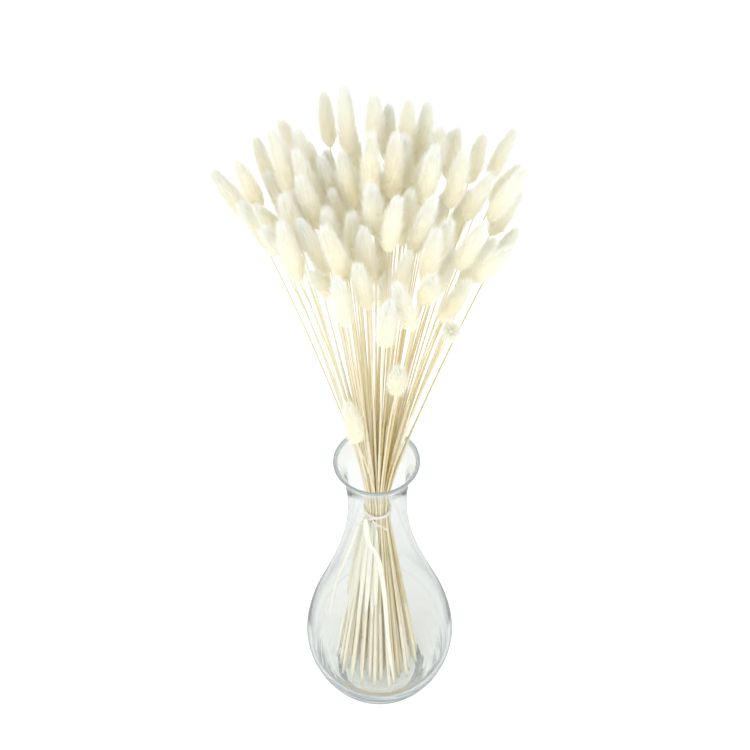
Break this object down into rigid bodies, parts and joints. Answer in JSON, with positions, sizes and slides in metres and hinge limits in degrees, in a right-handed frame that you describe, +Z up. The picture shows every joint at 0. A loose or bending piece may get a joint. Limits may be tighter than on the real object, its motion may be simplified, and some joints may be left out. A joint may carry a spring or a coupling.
{
  "type": "dried bunny tail grass bunch in a glass vase",
  "caption": "Bunch of dried bunny tail grass, soft cream heads on thin straw stems, tied with string and standing in a clear glass vase.",
  "frame": {"origin": "centre of the flat underside of the vase", "axes": "+Z up along the axis of the vase, -Y towards the front of the bunch, where its lowest heads hang"},
  "size_m": [0.1764, 0.147, 0.5784],
  "materials": {
    "glass": "clear and polished",
    "string": "twisted cotton",
    "dried_grass": "dry straw with soft hairs"
  },
  "bodies": {
    "root": {"tail_12": "dried_grass", "tail_15": "dried_grass", "tail_16": "dried_grass", "tail_47": "dried_grass", "tail_48": "dried_grass", "tail_49": "dried_grass", "tail_50": "dried_grass", "tail_51": "dried_grass", "tail_52": "dried_grass", "tail_53": "dried_grass", "tail_54": "dried_grass", "tail_55": "dried_grass", "tail_56": "dried_grass", "tail_57": "dried_grass", "tail_58": "dried_grass", "tail_60": "dried_grass", "tail_61": "dried_grass", "tail_62": "dried_grass", "tail_63": "dried_grass", "tail_64": "dried_grass", "tail_65": "dried_grass", "tail_66": "dried_grass", "tail_67": "dried_grass", "tail_68": "dried_grass", "tail_69": "dried_grass", "tail_70": "dried_grass", "tail_71": "dried_grass", "tail_72": "dried_grass", "tail_73": "dried_grass", "tail_74": "dried_grass", "tail_75": "dried_grass", "tail_76": "dried_grass", "tail_77": "dried_grass", "tail_78": "dried_grass", "tail_79": "dried_grass", "tail_80": "dried_grass", "tails_01_04": "dried_grass", "tails_02_07": "dried_grass", "tails_03_08": "dried_grass", "tails_05_13": "dried_grass", "tails_06_14": "dried_grass", "tails_09_17": "dried_grass", "tails_10_18": "dried_grass", "tails_11_19": "dried_grass", "tails_20_33": "dried_grass", "tails_21_34": "dried_grass", "tails_22_35": "dried_grass", "tails_23_36": "dried_grass", "tails_24_37": "dried_grass", "tails_25_38": "dried_grass", "tails_26_39": "dried_grass", "tails_27_40": "dried_grass", "tails_28_41": "dried_grass", "tails_29_42": "dried_grass", "tails_30_43": "dried_grass", "tails_31_44": "dried_grass", "tails_32_45": "dried_grass", "tails_46_59": "dried_grass", "tie": "string", "vase": "glass"}
  },
  "joints": []
}
